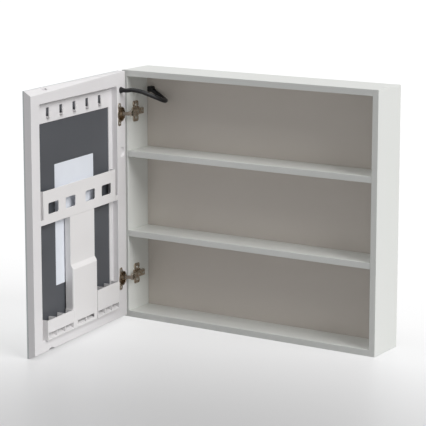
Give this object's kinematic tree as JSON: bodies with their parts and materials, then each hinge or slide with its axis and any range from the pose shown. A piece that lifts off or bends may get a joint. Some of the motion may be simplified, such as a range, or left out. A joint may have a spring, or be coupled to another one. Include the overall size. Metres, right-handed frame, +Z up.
{
  "type": "lighted mirror cabinet",
  "caption": "Wall-hung mirror cabinet with open shelves and a lighted mirror door on cup hinges, its inner side moulded as a recess with hooks, crossbar and trays.",
  "frame": {"origin": "midway between the two wall keyholes' round entries, on the wall plane", "axes": "+X to the right as seen from the front, +Y into the wall, +Z up"},
  "size_m": [0.7448, 0.5765, 0.65],
  "materials": {
    "coated_board": "satin white coating",
    "back_board": "matt pale grey coating",
    "beech": "raw",
    "plywood": "raw",
    "bright_steel": "zinc plated",
    "nickel_steel": "nickel plated",
    "white_plastic": "matt",
    "white_moulding": "fine satin",
    "black_rubber": "satin",
    "silvered_glass": "polished, frosted bands over the light strips",
    "dark_film": "matt",
    "pale_pad": "satin",
    "black_foam": "matt",
    "strip_board": "matt",
    "opal_plastic": "frosted"
  },
  "bodies": {
    "carcase": {"side_panel_left": "coated_board", "side_panel_right": "coated_board", "top_panel": "coated_board", "bottom_panel": "coated_board", "back_panel": "back_board", "corner_dowels": "beech", "shelf_upper": "coated_board", "shelf_lower": "coated_board", "shelf_pins": "bright_steel", "hanging_rail": "plywood", "lower_rail": "plywood", "hanging_plate_left": "bright_steel", "hanging_plate_right": "bright_steel", "hanging_screws": "bright_steel", "led_driver": "white_plastic", "driver_screws": "bright_steel", "cable_boot": "black_rubber", "hinge_plate_upper": "nickel_steel", "hinge_plate_lower": "nickel_steel", "hinge_plate_screws": "bright_steel", "hinge_arm_upper": "nickel_steel", "hinge_arm_lower": "nickel_steel", "arm_adjusters": "bright_steel", "arm_pins": "bright_steel", "door_cable": "black_rubber"},
    "door": {"door_frame": "white_moulding", "mirror_glass": "silvered_glass", "mirror_film": "dark_film", "demister_pad": "pale_pad", "glass_tape": "black_foam", "hinge_cup_upper": "nickel_steel", "hinge_cup_lower": "nickel_steel", "cup_screws": "bright_steel", "door_hooks": "white_moulding", "organiser_bar": "white_moulding", "organiser_stem": "white_moulding", "tray_free_side": "white_moulding", "tray_hinge_side": "white_moulding", "light_strip_left": "strip_board", "light_strip_right": "strip_board", "light_diffusers": "opal_plastic", "door_gland": "black_rubber"},
    "upper_link": {"hinge_link_upper": "nickel_steel"},
    "lower_link": {"hinge_link_lower": "nickel_steel"}
  },
  "joints": [
    {"name": "door_hinge", "type": "hinge", "parent": "carcase", "child": "door", "pos_m": [-0.3655, -0.1315, -0.271], "axis": [0, 0, 1], "range_deg": [-11, 84], "deforming": ["door_cable"]},
    {"name": "upper_link_pivot", "type": "hinge", "parent": "carcase", "child": "upper_link", "pos_m": [-0.3365, -0.12383, -0.056], "axis": [0, 0, 1], "range_deg": [-59, 7.9]},
    {"name": "lower_link_pivot", "type": "hinge", "parent": "carcase", "child": "lower_link", "pos_m": [-0.3365, -0.12383, -0.486], "axis": [0, 0, 1], "range_deg": [-59, 7.9]}
  ],
  "couplings": [
    {"joint": "upper_link_pivot", "follows": "door_hinge", "ratio": -0.6996},
    {"joint": "lower_link_pivot", "follows": "door_hinge", "ratio": -0.6996}
  ]
}
